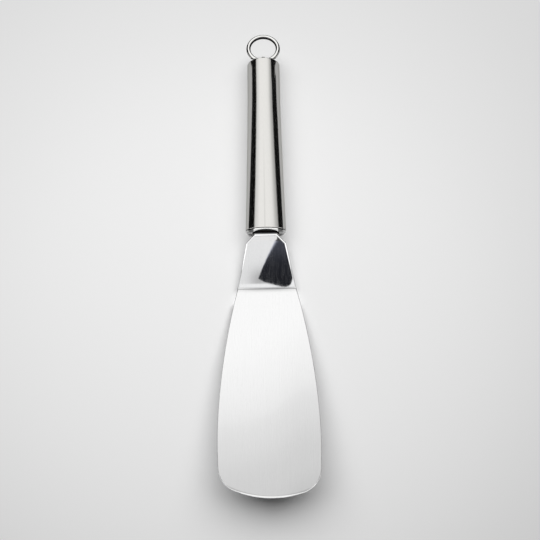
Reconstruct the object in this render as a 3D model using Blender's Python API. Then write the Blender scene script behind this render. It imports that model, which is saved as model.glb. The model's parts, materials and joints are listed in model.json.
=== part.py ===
"""All-steel pancake turner lying on a table, on its heel and the handle's end.

Metres, +Z up, +Y toward the hanging ring, symmetric about X = 0.
The origin is the middle of the bottom of the bounding box.
The sizes below are in millimetres and degrees.
"""
import math

import bmesh
import bpy
from mathutils import Matrix, Vector

MM = 0.001

# Running clearance between pieces that touch on the real object
GAP = 0.3

# How it lies: the handle and the blade climb away from the heel by the same angle
LIE_ANGLE = 13.2
NECK_SLOPE = 46.4

# Sheet: tang, neck and blade are one stamped and bent piece
SHEET_T = 1.2
BEND_R = 1.8
CREST_OUT = 2.05
TANG_DEPTH = 32.0
TANG_HALF_W = 7.65
SHOULDER_DOWN = 7.8
SHOULDER_HALF_W = 13.2
HEEL_HALF_W = 20.5
BLADE_LEN = 141.3
BLADE_HALF_W = 34.9
WIDEST_AT = 105.0
SIDE_CURVE = 1.855
CORNER_R = 17.0
TIP_R = 70.0
GRIND_W = 1.8
GRIND_LAND = 0.35

# Handle tube: round at the ring end, pressed oval toward the mouth
TUBE_LEN = 117.7
TUBE_R = 11.05
TUBE_WALL = 1.1
MOUTH_HALF_W = 13.15
MOUTH_HALF_H = 9.35
ROUND_LEN = 28.0
END_CUT_ANGLE = 3.3

# Collar welded to the mouth
LIP_OUT = 1.6
LIP_LEAN = 0.12
LIP_BREAK = 0.3
OPEN_HALF_W = 8.7
OPEN_HALF_H = 7.3
SPIGOT_LEN = 4.0

# Plug that holds the tang, its nose in the collar's opening
PLUG_LEN = 9.0
NOSE_OUT = 0.4

# End cap
CAP_DEEP = 1.5
CAP_T = 2.0

# Eye riveted through the end cap
STEM_R = 1.7
FLANGE_R = 3.2
FLANGE_T = 1.0
RIVET_R = 3.0
RIVET_T = 1.2
EYE_T = 2.0
EYE_OUT = 4.24
EYE_DROP = 0.56
EYE_HOLE_R = 1.9
EYE_WALL = 0.85

# Hanging ring of round wire
RING_R = 10.15
RING_WIRE_R = 1.42

# Faces round the larger round pieces
SEGMENTS = 56

TILT = math.radians(LIE_ANGLE)
SLOPE = math.radians(NECK_SLOPE)
END_CUT = math.tan(math.radians(END_CUT_ANGLE))
ALONG = Vector((0.0, math.cos(TILT), -math.sin(TILT)))
ABOVE = Vector((0.0, math.sin(TILT), math.cos(TILT)))
SIDE = Vector((1.0, 0.0, 0.0))


def on_axis(out):
    """Point of the handle's axis, at a distance beyond the ring end. The lower rim is at height 0."""
    height = TUBE_R * (math.cos(TILT) - END_CUT * math.sin(TILT))
    return Vector((0.0, 0.0, height)) + ALONG * out


def heel_corner():
    """Where the middle lines of the neck and the blade meet. The bend's underside is at height 0."""
    height = BEND_R + SHEET_T / 2.0
    height -= BEND_R * math.cos((SLOPE - TILT) / 2.0) / math.cos((SLOPE + TILT) / 2.0)
    crest = crest_corner()
    return Vector((0.0, crest.y - (crest.z - height) / math.tan(SLOPE), height))


def crest_corner():
    """Where the middle lines of the tang and the neck meet, just outside the mouth."""
    return on_axis(-TUBE_LEN - CREST_OUT)


def neck_length():
    return (crest_corner() - heel_corner()).length


def tip_point():
    return heel_corner() - ALONG * BLADE_LEN


def eye_centre():
    return on_axis(EYE_OUT) - ABOVE * EYE_DROP


def ring_frame():
    """Ring's centre and the unit vectors in its plane and square to it, its far side on the table."""
    near = eye_centre() - Vector((0.0, 0.0, EYE_HOLE_R - RING_WIRE_R - GAP))
    drop = math.asin((near.z - RING_WIRE_R) / (2.0 * RING_R))
    out = Vector((0.0, math.cos(drop), -math.sin(drop)))
    up = Vector((0.0, math.sin(drop), math.cos(drop)))
    return near + out * RING_R, out, up


def middle_y():
    """Middle of the whole length, which becomes the origin."""
    centre, out, up = ring_frame()
    far = centre.y + RING_R * out.y + RING_WIRE_R
    return (far + tip_point().y) / 2.0


SHIFT = Vector((0.0, middle_y(), 0.0))


def place(point):
    """Millimetres measured from the handle's ring end to the part's own metres."""
    return (point - SHIFT) * MM


def clear_scene():
    for obj in list(bpy.data.objects):
        bpy.data.objects.remove(obj, do_unlink=True)
    for mesh in list(bpy.data.meshes):
        bpy.data.meshes.remove(mesh)


def make_material(name, colour, roughness, metallic):
    mat = bpy.data.materials.new(name)
    mat.use_nodes = True
    mat.diffuse_color = (colour[0], colour[1], colour[2], 1.0)
    shader = mat.node_tree.nodes["Principled BSDF"]
    shader.inputs["Base Color"].default_value = (colour[0], colour[1], colour[2], 1.0)
    shader.inputs["Roughness"].default_value = roughness
    shader.inputs["Metallic"].default_value = metallic
    return mat


def make_collection(name, hidden):
    coll = bpy.data.collections.new(name)
    bpy.context.scene.collection.children.link(coll)
    coll.hide_render = hidden
    return coll


def add_object(name, mesh, coll):
    obj = bpy.data.objects.new(name, mesh)
    coll.objects.link(obj)
    return obj


def finish_piece(obj, mat):
    obj.data.materials.clear()
    obj.data.materials.append(mat)
    for poly in obj.data.polygons:
        poly.use_smooth = True
    obj.data.set_sharp_from_angle(angle=math.radians(32.0))
    return obj


def as_cutter(obj):
    obj.hide_render = True
    obj.display_type = "WIRE"
    return obj


def add_boolean(obj, other, operation, name):
    mod = obj.modifiers.new(name, "BOOLEAN")
    mod.operation = operation
    mod.solver = "EXACT"
    mod.object = other
    return mod


def prism(name, outline, low, high, coll, u_dir, v_dir, w_dir):
    """Filled flat outline in metres, extruded from low to high along w_dir."""
    curve = bpy.data.curves.new(name, "CURVE")
    curve.dimensions = "2D"
    curve.fill_mode = "BOTH"
    curve.extrude = (high - low) / 2.0
    spline = curve.splines.new("POLY")
    spline.points.add(len(outline) - 1)
    for point, (u, v) in zip(spline.points, outline):
        point.co = (u, v, 0.0, 1.0)
    spline.use_cyclic_u = True
    flat = bpy.data.objects.new(name + "_outline", curve)
    coll.objects.link(flat)
    bpy.context.view_layer.update()
    graph = bpy.context.evaluated_depsgraph_get()
    mesh = bpy.data.meshes.new_from_object(flat.evaluated_get(graph))
    bpy.data.objects.remove(flat, do_unlink=True)
    turn = Matrix((u_dir, v_dir, w_dir)).transposed().to_4x4()
    turn.translation = w_dir * ((high + low) / 2.0)
    work = bmesh.new()
    work.from_mesh(mesh)
    bmesh.ops.remove_doubles(work, verts=work.verts, dist=0.0001 * MM)
    bmesh.ops.transform(work, matrix=turn, verts=work.verts)
    bmesh.ops.recalc_face_normals(work, faces=work.faces)
    work.to_mesh(mesh)
    work.free()
    mesh.name = name
    return add_object(name, mesh, coll)


def loft(name, rings, coll, closed):
    """Skin through unlike rings of points. A closed loft joins the last ring to the first."""
    work = bmesh.new()
    rows = [[work.verts.new(place(p)) for p in ring] for ring in rings]
    count = len(rows)
    steps = count if closed else count - 1
    for i in range(steps):
        low = rows[i]
        high = rows[(i + 1) % count]
        for k in range(len(low)):
            n = (k + 1) % len(low)
            work.faces.new((low[k], low[n], high[n], high[k]))
    if not closed:
        work.faces.new(rows[0])
        work.faces.new(list(reversed(rows[-1])))
    bmesh.ops.recalc_face_normals(work, faces=work.faces)
    mesh = bpy.data.meshes.new(name)
    work.to_mesh(mesh)
    work.free()
    return add_object(name, mesh, coll)


def tube_half_sizes(back):
    """Half width and half height of the tube's outside at a distance from the ring end."""
    t = min(1.0, max(0.0, (back - ROUND_LEN) / (TUBE_LEN - ROUND_LEN)))
    t = t * (0.75 + 0.25 * t)
    wide = TUBE_R + (MOUTH_HALF_W - TUBE_R) * t
    high = TUBE_R + (MOUTH_HALF_H - TUBE_R) * t
    return wide, high


def oval(back, wide, high, lean):
    """Ring of points round the axis. lean slides the upper points along the axis, toward the mouth."""
    ring = []
    for i in range(SEGMENTS):
        a = 2.0 * math.pi * (i + 0.5) / SEGMENTS
        up = high * math.cos(a)
        ring.append(on_axis(-back - lean * up) + SIDE * (wide * math.sin(a)) + ABOVE * up)
    return ring


def bend_points(corner, before, after, offset):
    """Points round a bend of the sheet's middle line, shifted square to it by offset, up being plus."""
    turn = math.atan2(before.y * after.z - before.z * after.y, before.dot(after))
    inward = (after - before).normalized()
    centre = corner + inward * (BEND_R / math.cos(turn / 2.0))
    start = corner - before * (BEND_R * math.tan(abs(turn) / 2.0)) - centre
    radius = BEND_R + offset if turn > 0.0 else BEND_R - offset
    points = []
    steps = 8
    for i in range(steps + 1):
        spoke = Matrix.Rotation(turn * i / steps, 3, "X") @ start
        points.append(centre + spoke.normalized() * radius)
    return points


def side_profile():
    """Closed outline of the bent sheet seen from the side, a little past the blade's tip."""
    crest = crest_corner()
    heel = heel_corner()
    tang_end = on_axis(-TUBE_LEN + TANG_DEPTH)
    down = (heel - crest).normalized()
    beyond = tip_point() - ALONG * (4.0 * SHEET_T)
    lines = []
    for offset in (SHEET_T / 2.0, -SHEET_T / 2.0):
        line = [tang_end + ABOVE * offset]
        line.extend(bend_points(crest, -ALONG, down, offset))
        line.extend(bend_points(heel, down, -ALONG, offset))
        line.append(beyond + ABOVE * offset)
        lines.append(line)
    return lines[0] + list(reversed(lines[1]))


def side_half_width(b):
    """Half width of the blade's long side at a distance from the heel."""
    return HEEL_HALF_W + (BLADE_HALF_W - HEEL_HALF_W) * (1.0 - abs(1.0 - b / WIDEST_AT) ** SIDE_CURVE)


def corner_circle(b):
    """Centre of the corner's circle that touches the side at b, and the side's outward angle there."""
    step = 0.01
    rise = (side_half_width(b + step) - side_half_width(b - step)) / (2.0 * step)
    angle = math.pi / 2.0 + math.atan(rise)
    half = side_half_width(b)
    return b - CORNER_R * math.cos(angle), half - CORNER_R * math.sin(angle), angle


def find_corner():
    """Slide the corner's circle along the side until it also touches the tip's arc from inside."""
    tip_b = BLADE_LEN - TIP_R
    low = BLADE_LEN * 0.5
    high = BLADE_LEN
    for _ in range(60):
        mid = (low + high) / 2.0
        b, w, angle = corner_circle(mid)
        if math.hypot(b - tip_b, w) < TIP_R - CORNER_R:
            low = mid
        else:
            high = mid
    return low


def blade_half_outline():
    """Half outline of the blade in its own plane, as distance from the heel and half width."""
    start = find_corner()
    b0, w0, angle = corner_circle(start)
    tip_b = BLADE_LEN - TIP_R
    meet = math.atan2(w0, b0 - tip_b)
    line = []
    steps = 22
    for i in range(steps):
        b = start * i / steps
        line.append((b, side_half_width(b)))
    steps = 10
    for i in range(steps):
        a = angle + (meet - angle) * i / steps
        line.append((b0 + CORNER_R * math.cos(a), w0 + CORNER_R * math.sin(a)))
    steps = 9
    for i in range(steps + 1):
        a = meet * (1.0 - i / steps)
        line.append((tip_b + TIP_R * math.cos(a), TIP_R * math.sin(a)))
    return line


def plan_outline():
    """Outline of the bent sheet seen from above, in the part's metres."""
    crest = crest_corner()
    heel = heel_corner()
    down = (heel - crest).normalized()
    half = [(on_axis(-TUBE_LEN + TANG_DEPTH).y, TANG_HALF_W)]
    half.append(((crest + down * (SHEET_T / 2.0)).y, TANG_HALF_W))
    half.append(((crest + down * SHOULDER_DOWN).y, SHOULDER_HALF_W))
    for b, w in blade_half_outline():
        half.append(((heel - ALONG * b).y, w))
    right = [(w * MM, (y - SHIFT.y) * MM) for y, w in half]
    left = [(-x, y) for x, y in right[:-1]]
    left.reverse()
    return right + left


def grind_cutter(coll):
    """Wedge swept round the tip's arc, for the ground edge on the blade's upper face."""
    start = find_corner()
    b0, w0, angle = corner_circle(start)
    sweep = math.atan2(w0, b0 - BLADE_LEN + TIP_R) + math.radians(6.0)
    centre = heel_corner() - ALONG * (BLADE_LEN - TIP_R)
    top = SHEET_T / 2.0
    beyond = 3.0
    fall = (SHEET_T - GRIND_LAND) * (GRIND_W + beyond) / GRIND_W
    wedge = (
        (TIP_R - GRIND_W, top),
        (TIP_R - GRIND_W, top + beyond),
        (TIP_R + beyond, top + beyond),
        (TIP_R + beyond, top - fall),
    )
    rings = []
    steps = 20
    for i in range(steps + 1):
        a = sweep * (2.0 * i / steps - 1.0)
        out = SIDE * math.sin(a) - ALONG * math.cos(a)
        rings.append([centre + out * r + ABOVE * h for r, h in wedge])
    return as_cutter(loft("grind_cutter", rings, coll, False))


def build_blade_head(parts, cutters, mat):
    """Tang, neck and blade: the side profile run across, cut to the outline seen from above."""
    y_dir = Vector((0.0, 1.0, 0.0))
    z_dir = Vector((0.0, 0.0, 1.0))
    reach = (BLADE_HALF_W + 5.0) * MM
    side = [(place(p).y, place(p).z) for p in side_profile()]
    blade = prism("blade_head", side, -reach, reach, parts, y_dir, z_dir, SIDE)
    high = (crest_corner().z + tip_point().z) * MM
    plan = prism("plan_cutter", plan_outline(), -0.01, high, cutters, SIDE, y_dir, z_dir)
    add_boolean(blade, as_cutter(plan), "INTERSECT", "stamped_outline")
    add_boolean(blade, grind_cutter(cutters), "DIFFERENCE", "ground_edge")
    return finish_piece(blade, mat)


def build_handle_tube(parts, mat):
    backs = [0.0, 1.0, ROUND_LEN]
    steps = 12
    for i in range(1, steps + 1):
        backs.append(ROUND_LEN + (TUBE_LEN - GAP - ROUND_LEN) * i / steps)
    outer = []
    inner = []
    for back in backs:
        wide, high = tube_half_sizes(back)
        lean = -END_CUT * max(0.0, 1.0 - back / ROUND_LEN)
        outer.append(oval(back, wide, high, lean))
        inner.append(oval(back, wide - TUBE_WALL, high - TUBE_WALL, lean))
    tube = loft("handle_tube", outer + list(reversed(inner)), parts, True)
    return finish_piece(tube, mat)


def build_mouth_collar(parts, mat):
    """Rounded lip outside the tube and a spigot inside it, round an oval opening."""
    less = TUBE_WALL + GAP
    wide, high = MOUTH_HALF_W, MOUTH_HALF_H
    rings = [oval(TUBE_LEN, wide, high, 0.0)]
    steps = 6
    for i in range(1, steps + 1):
        a = 0.5 * math.pi * i / steps
        inset = (1.0 - math.cos(a)) ** 0.8
        in_w = wide - (wide - OPEN_HALF_W - LIP_BREAK) * inset
        in_h = high - (high - OPEN_HALF_H - LIP_BREAK) * inset
        out = math.sin(a)
        rings.append(oval(TUBE_LEN + LIP_OUT * out, in_w, in_h, -LIP_LEAN * out))
    rings.append(oval(TUBE_LEN + LIP_OUT - LIP_BREAK, OPEN_HALF_W, OPEN_HALF_H, -LIP_LEAN))
    rings.append(oval(TUBE_LEN - SPIGOT_LEN, OPEN_HALF_W, OPEN_HALF_H, 0.0))
    spig_w, spig_h = tube_half_sizes(TUBE_LEN - SPIGOT_LEN)
    rings.append(oval(TUBE_LEN - SPIGOT_LEN, spig_w - less, spig_h - less, 0.0))
    rings.append(oval(TUBE_LEN, wide - less, high - less, 0.0))
    collar = loft("mouth_collar", rings, parts, True)
    return finish_piece(collar, mat)


def slot_cutter(name, start, end, w, h, coll):
    """Bar along the handle's axis, between two distances from the ring end."""
    corners = ((-w, -h), (w, -h), (w, h), (-w, h))
    rings = [[on_axis(-back) + SIDE * x + ABOVE * up for x, up in corners] for back in (start, end)]
    return as_cutter(loft(name, rings, coll, False))


def build_tang_plug(parts, cutters, mat):
    """Block behind the collar's spigot, with a nose that fills the opening and a slot for the tang."""
    front = TUBE_LEN - SPIGOT_LEN - GAP
    less = TUBE_WALL + GAP
    rings = []
    for back in (front - PLUG_LEN, front - PLUG_LEN / 2.0, front):
        wide, high = tube_half_sizes(back)
        rings.append(oval(back, wide - less, high - less, 0.0))
    for back in (front, TUBE_LEN + NOSE_OUT):
        rings.append(oval(back, OPEN_HALF_W - GAP, OPEN_HALF_H - GAP, 0.0))
    plug = loft("tang_plug", rings, parts, False)
    w = TANG_HALF_W + GAP
    h = SHEET_T / 2.0 + GAP
    slot = slot_cutter("slot_cutter", front - PLUG_LEN - 2.0, TUBE_LEN + 3.0, w, h, cutters)
    add_boolean(plug, slot, "DIFFERENCE", "tang_slot")
    split = slot_cutter("split_cutter", front - 0.5, TUBE_LEN + 4.0, OPEN_HALF_W + 1.0, h + 0.2, cutters)
    add_boolean(plug, split, "DIFFERENCE", "nose_split")
    return finish_piece(plug, mat)


def build_end_cap(parts, cutters, mat):
    r = TUBE_R - TUBE_WALL - GAP
    rings = [oval(back, r, r, -END_CUT) for back in (CAP_DEEP, CAP_DEEP + CAP_T)]
    cap = loft("end_cap", rings, parts, False)
    r = STEM_R + GAP
    hole = [oval(back, r, r, 0.0) for back in (CAP_DEEP - 3.0, CAP_DEEP + CAP_T + 3.0)]
    cutter = as_cutter(loft("stem_cutter", hole, cutters, False))
    add_boolean(cap, cutter, "DIFFERENCE", "stem_hole")
    return finish_piece(cap, mat)


def build_ring_eye(parts, cutters, mat):
    """Eye plate, flange and stem in one piece, its stem spread like a rivet behind the cap."""
    face = CAP_DEEP - GAP
    back = CAP_DEEP + CAP_T + GAP
    profile = (
        (back + RIVET_T, RIVET_R - 0.5),
        (back + RIVET_T / 2.0, RIVET_R),
        (back, RIVET_R),
        (back, STEM_R),
        (face, STEM_R),
        (face, FLANGE_R),
        (face - FLANGE_T, FLANGE_R),
    )
    rings = [oval(d, r, r, -END_CUT) for d, r in profile]
    eye = loft("ring_eye", rings, parts, False)
    centre = eye_centre()
    head = EYE_HOLE_R + EYE_WALL
    plate = []
    steps = 16
    for i in range(steps + 1):
        a = math.pi * i / steps - math.pi / 2.0
        plate.append(centre + ALONG * (head * math.cos(a)) + ABOVE * (head * math.sin(a)))
    root = on_axis(-(face - FLANGE_T / 2.0))
    half_root = FLANGE_R - 0.6
    plate.append(root + ABOVE * half_root)
    plate.append(root - ABOVE * half_root)
    rings = [[p + SIDE * x for p in plate] for x in (-EYE_T / 2.0, EYE_T / 2.0)]
    tongue = as_cutter(loft("eye_plate", rings, cutters, False))
    add_boolean(eye, tongue, "UNION", "eye_plate")
    bore = []
    steps = 24
    for x in (-EYE_T, EYE_T):
        ring = []
        for i in range(steps):
            a = 2.0 * math.pi * (i + 0.5) / steps
            spoke = ALONG * math.sin(a) + ABOVE * math.cos(a)
            ring.append(centre + SIDE * x + spoke * EYE_HOLE_R)
        bore.append(ring)
    cutter = as_cutter(loft("eye_bore", bore, cutters, False))
    add_boolean(eye, cutter, "DIFFERENCE", "eye_bore")
    return finish_piece(eye, mat)


def build_hanging_ring(parts, mat):
    """Wire ring through the eye. Its origin is the middle of the eye's hole, on the hinge axis."""
    centre, out, up = ring_frame()
    rings = []
    turns = 48
    around = 16
    for i in range(turns):
        a = 2.0 * math.pi * i / turns
        radial = out * math.cos(a) + SIDE * math.sin(a)
        hub = centre + radial * RING_R
        ring = []
        for k in range(around):
            b = 2.0 * math.pi * k / around
            ring.append(hub + (radial * math.cos(b) + up * math.sin(b)) * RING_WIRE_R)
        rings.append(ring)
    obj = loft("hanging_ring", rings, parts, True)
    hinge = place(eye_centre())
    obj.data.transform(Matrix.Translation(-hinge))
    obj.location = hinge
    return finish_piece(obj, mat)


def main():
    clear_scene()
    parts = make_collection("pancake_turner", False)
    cutters = make_collection("cutters", True)
    sheet_steel = make_material("sheet_steel", (0.78, 0.78, 0.77), 0.14, 1.0)
    tube_steel = make_material("tube_steel", (0.72, 0.71, 0.69), 0.24, 1.0)
    collar_steel = make_material("collar_steel", (0.80, 0.80, 0.79), 0.10, 1.0)
    black_plastic = make_material("black_plastic", (0.012, 0.012, 0.012), 0.60, 0.0)
    cap_steel = make_material("cap_steel", (0.70, 0.70, 0.69), 0.28, 1.0)
    eye_steel = make_material("eye_steel", (0.74, 0.74, 0.73), 0.22, 1.0)
    ring_steel = make_material("ring_steel", (0.80, 0.80, 0.79), 0.12, 1.0)
    build_blade_head(parts, cutters, sheet_steel)
    build_handle_tube(parts, tube_steel)
    build_mouth_collar(parts, collar_steel)
    build_tang_plug(parts, cutters, black_plastic)
    build_end_cap(parts, cutters, cap_steel)
    build_ring_eye(parts, cutters, eye_steel)
    build_hanging_ring(parts, ring_steel)


main()
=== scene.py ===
"""Pancake turner on a pale table: detailed pieces, materials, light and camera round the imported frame.

Sizes are in millimetres and angles in degrees, unless a comment says otherwise. Y runs from the blade to the
ring and X to the right. Pairs in a table of levels are (place, level).
"""
import json
import math

import bmesh
import bpy
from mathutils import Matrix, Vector


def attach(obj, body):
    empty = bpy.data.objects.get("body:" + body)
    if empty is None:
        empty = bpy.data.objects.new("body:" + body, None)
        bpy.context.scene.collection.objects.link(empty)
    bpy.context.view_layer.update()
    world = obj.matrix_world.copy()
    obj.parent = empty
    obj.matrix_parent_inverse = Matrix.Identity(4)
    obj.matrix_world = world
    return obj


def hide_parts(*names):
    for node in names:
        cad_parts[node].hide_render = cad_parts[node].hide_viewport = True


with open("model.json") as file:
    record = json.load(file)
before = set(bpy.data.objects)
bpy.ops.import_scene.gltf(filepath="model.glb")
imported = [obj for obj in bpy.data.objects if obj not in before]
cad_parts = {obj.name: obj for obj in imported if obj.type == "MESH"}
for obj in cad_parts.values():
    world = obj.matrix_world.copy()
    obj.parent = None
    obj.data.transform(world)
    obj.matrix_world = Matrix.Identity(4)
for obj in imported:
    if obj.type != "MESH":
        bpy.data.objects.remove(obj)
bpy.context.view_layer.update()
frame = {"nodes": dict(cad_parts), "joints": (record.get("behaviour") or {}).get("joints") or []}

MM = 0.001

# The solids' own sizes, as in the part's source
GAP = 0.3
LIE_ANGLE = 13.2
NECK_SLOPE = 46.4
SHEET_T = 1.2
BEND_R = 1.8
CREST_OUT = 2.05
TANG_DEPTH = 32.0
TANG_HALF_W = 7.65
SHOULDER_DOWN = 7.8
SHOULDER_HALF_W = 13.2
HEEL_HALF_W = 20.5
BLADE_LEN = 141.3
BLADE_HALF_W = 34.9
WIDEST_AT = 105.0
SIDE_CURVE = 1.855
CORNER_R = 17.0
TIP_R = 70.0
GRIND_LAND = 0.35
TUBE_LEN = 117.7
TUBE_R = 11.05
TUBE_WALL = 1.1
MOUTH_HALF_W = 13.15
MOUTH_HALF_H = 9.35
ROUND_LEN = 28.0
FLARE_EVEN = 0.75
END_CUT_ANGLE = 3.3
LIP_OUT = 1.6
LIP_LEAN = 0.12
OPEN_HALF_W = 8.7
OPEN_HALF_H = 7.3
SPIGOT_LEN = 4.0
EYE_OUT = 4.24
EYE_DROP = 0.56
EYE_HOLE_R = 1.9
RING_R = 10.15
RING_WIRE_R = 1.42

# The sheet's round edge: radius, width on the neck, and the length over which that fades into the blade
EDGE_R = 0.52
NECK_EDGE_W = 1.15
NECK_EDGE_FADE = 8.0
EDGE_STEPS = 10
# Its ground front edge: width, inset at the bevel's foot, and the rows below that as (inset, height over the
# underside)
VISIBLE_GRIND_W = 1.55
GRIND_FOOT_IN = 0.06
GRIND_LOW = ((0.0, GRIND_LAND * 0.55), (0.03, 0.08), (0.16, 0.0))
GRIND_STEPS = EDGE_STEPS - len(GRIND_LOW)
# The bevel's share where a blade corner's round ends, and how far into that round it starts, by side
GRIND_FADE = 0.45
GRIND_START = 0.35
GRIND_START_LEAN = 0.2
# How far the tip's round is centred to the right, and how far the tip stays inside the solid's
TIP_SHIFT = 2.0
TIP_INSIDE = 0.02
# Radii of the outline's corners: the tang's end, where it widens, the shoulder and the heel
CORNER_ROUNDS = (2.0, 0.9, 1.6, 3.0)
# Where on the crest's bend the tang starts to widen, as a share, and how far past the heel its round looks
FLARE_AT = 0.62
HEEL_NEXT = 8.0
# Steps of the outline: round its corners, along a side, the first of those, and along the blade's curves
CORNER_STEPS = 5
SIDE_STEPS = 34
SIDE_FIRST = 3
CURVE_STEPS = 18
# Finding where curves meet, the least mitre of an inset, and the cuts across a bend
SLOPE_STEP = 0.01
FIND_STEPS = 60
LEAST_MITRE = 0.5
BEND_STEPS = 10
CUT_NEAR = 0.0005

# The handle: rim at the ring end, places of its first sections, and chamfers at the mouth and at the cap
FACES_ROUND = 112
RIM_ROUND = 0.4
RIM_STEPS = 4
TUBE_BACKS = (1.2, 4.0, 12.0)
TUBE_STEPS = 22
TUBE_CHAMFER = 0.12
CAP_CHAMFER = 0.15
# The lip: groove to the tube, chamfer beside it, how much less high it is than the solid, and its nose
SEAM_W = 0.2
SEAM_DEEP = 0.45
LIP_CHAMFER = 0.08
LIP_LOW = 0.11
NOSE_STEPS = 12
NOSE_POWER = 3.0
NOSE_IN = 0.15
# The lip's opening: how much higher it shows, where it narrows to the spigot's, and the rows of its inner
# edge as (distance behind the nose, widening)
OPEN_MORE = 0.3
OPEN_FROM = 1.0
OPEN_TO = 1.4
OPEN_EDGE = ((0.06, 0.05), (0.2, 0.0))
# The groove's painted shade, a black band at its bottom: insets of its outer and inner faces, and how far it
# goes past the groove's walls
SEAM_SHADE_IN = 0.3
SEAM_SHADE_DEEP = 0.7
SEAM_SHADE_BACK = 0.05
SEAM_SHADE_OUT = 0.02
# The ring's sections, and the faces round its wire
RING_SECTIONS = 144
RING_FACES = 32

# Shares of a steel's colour. Painted shade in the sheet's crease at the heel, by place along Y
HEEL_PAINTED_SHADE = ((-24.2, 1.0), (-22.74, 0.975), (-22.04, 0.92), (-21.34, 0.82), (-20.64, 0.69), (-20.0, 0.5),
          (-19.5, 0.8), (-18.8, 0.97), (-17.5, 1.0))
# How strong that painted crease shade is, by distance from the middle
HEEL_SHADE_ACROSS = ((0.0, 1.15), (8.0, 1.1), (14.0, 0.8), (19.0, 0.55), (22.0, 0.55))
# Painted shade on the sheet where the tang goes into the mouth, by place along Y
MOUTH_PAINTED_SHADE = ((16.0, 1.0), (16.5, 1.0), (17.0, 0.1), (18.0, 0.1))
# The blade's bevel, darkened by painted shade that dims its reflection, by distance from the middle of the
# tip's round
BEVEL_PAINTED_SHADE = ((0.0, 1.0), (TIP_R - 2.2, 1.0), (TIP_R - 1.3, 0.75), (TIP_R + 2.0, 0.75))
# The lip's colour, darkened by painted shade toward its sides by distance from the middle, and made paler
# again by painted light, at least this by place along Y
LIP_PAINTED_SHADE = ((0.0, 1.0), (7.3, 1.0), (8.3, 0.09), (10.2, 0.09), (11.4, 0.46), (13.2, 0.57))
LIP_PAINTED_LIGHT = ((15.0, 1.0), (16.4, 1.0), (17.3, 0.5), (18.4, 0.0), (24.0, 0.0))
# Painted shade on the wire's inner side, by distance from the ring's middle
RING_PAINTED_SHADE = ((8.7, 0.12), (9.2, 0.12), (9.75, 1.0), (11.6, 1.0))
# The faint dark line along the handle's top: place, half-width, and how much it darkens by place along Y
TOP_LINE_X = -0.5
TOP_LINE_W = 0.45
TOP_LINE_DEPTH = ((0.0, 0.16), (40.0, 0.1), (95.0, 0.0), (110.0, 0.0))

# Grain of the steels: noise, the part of it that is used, its tones and its depth
GRAIN_DETAIL = 6.0
GRAIN_ROUGH = 0.65
GRAIN_RANGE = (0.35, 0.65)
GRAIN_TONES = (0.93, 1.05)
GRAIN_DEPTH = 0.02
# Fine scratches that scatter light: noise, and the part of it that is used
HAZE_DETAIL = 4.0
HAZE_ROUGH = 0.8
HAZE_RANGE = (0.5, 0.6)
# Plastic: colour, gloss, noise, roughness and bump
PLASTIC_TONE = 0.002
PLASTIC_GLOSS = 0.06
PLASTIC_SCALE = 900.0
PLASTIC_DETAIL = 3.0
PLASTIC_NOISE_ROUGH = 0.5
PLASTIC_ROUGH = (0.5, 0.75)
PLASTIC_BUMP = 0.3
PLASTIC_DEPTH = 0.05
# Highest level that a table of levels can hold
RAMP_TOP = 4.0

# Studio cards on a wide sphere, by turn round the handle's axis and by reach toward the ring.
# The sphere's radius is in metres
CARD_R = 3.0
CARD_TINT = (1.0, 0.995, 0.985)
BLACK = 0.012
# Soft box over the tool: its level across by turn, and along by reach
BOX_LEFT = -51.5
BOX_RIGHT = 59.0
BOX_FOOT = -14.0
BOX_TOP = 90.0
BOX_ACROSS = ((BOX_LEFT, 0.6), (-45.0, 0.78), (-38.0, 0.84), (-24.0, 1.0), (0.0, 1.0), (26.0, 0.96),
              (34.0, 0.86), (41.0, 0.68), (48.0, 0.54), (54.0, 0.45), (BOX_RIGHT, 0.38))
BOX_ALONG = ((BOX_FOOT, 0.4), (-10.0, 0.75), (-6.4, 1.04), (-4.3, 1.09), (-2.2, 1.19), (-0.1, 1.29),
             (1.0, 1.39), (4.1, 1.52), (8.3, 1.6), (30.0, 1.6), (BOX_TOP, 1.3))
# How far the levels along it shift by turn, over BOX_LEAN_ZERO, so that the blade is paler on its left
BOX_LEAN = ((-8.0, 3.8), (-3.1, 3.5), (0.0, 2.6), (3.1, 0.6), (6.0, 0.2), (8.0, 0.1))
BOX_LEAN_ZERO = 2.6
# Front box from the table up to FRONT_TOP: turn to either side, and level by height over the sphere's radius
FRONT_FOOT = -79.0
FRONT_TOP = -40.0
FRONT_SIDE = 100.0
FRONT_LEVELS = ((0.0, 1.88), (0.452, 1.88), (0.47, 2.15), (0.6, 2.1), (0.8, 1.5), (1.0, 1.3))
FRONT_LEVEL = FRONT_LEVELS[0][1]
# Dark flags beside the soft box: outer turns, upper end and level by reach
FLAG_LEFT = -95.0
FLAG_RIGHT = 100.0
FLAG_TOP = 50.0
FLAG_LEVELS = ((FRONT_TOP, 0.3), (2.0, 0.3), (11.0, 0.005), (FLAG_TOP, 0.005))
# Dark flag below the soft box
LOW_FLAG_FOOT = -28.0
LOW_FLAG_LEVEL = 0.3

# Long cards that stand on the table at the tool's sides: place along X, half-length, height, level along Y
SIDE_STRIPS = (("left_strip", -200.0), ("right_strip", 215.0))
SIDE_STRIP_END = 500.0
SIDE_STRIP_H = 80.0
SIDE_STRIP_LEVELS = ((-SIDE_STRIP_END, 2.3), (-200.0, 2.3), (-165.0, 0.3), (0.0, 0.3), (40.0, BLACK),
                     (SIDE_STRIP_END, BLACK))
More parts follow.
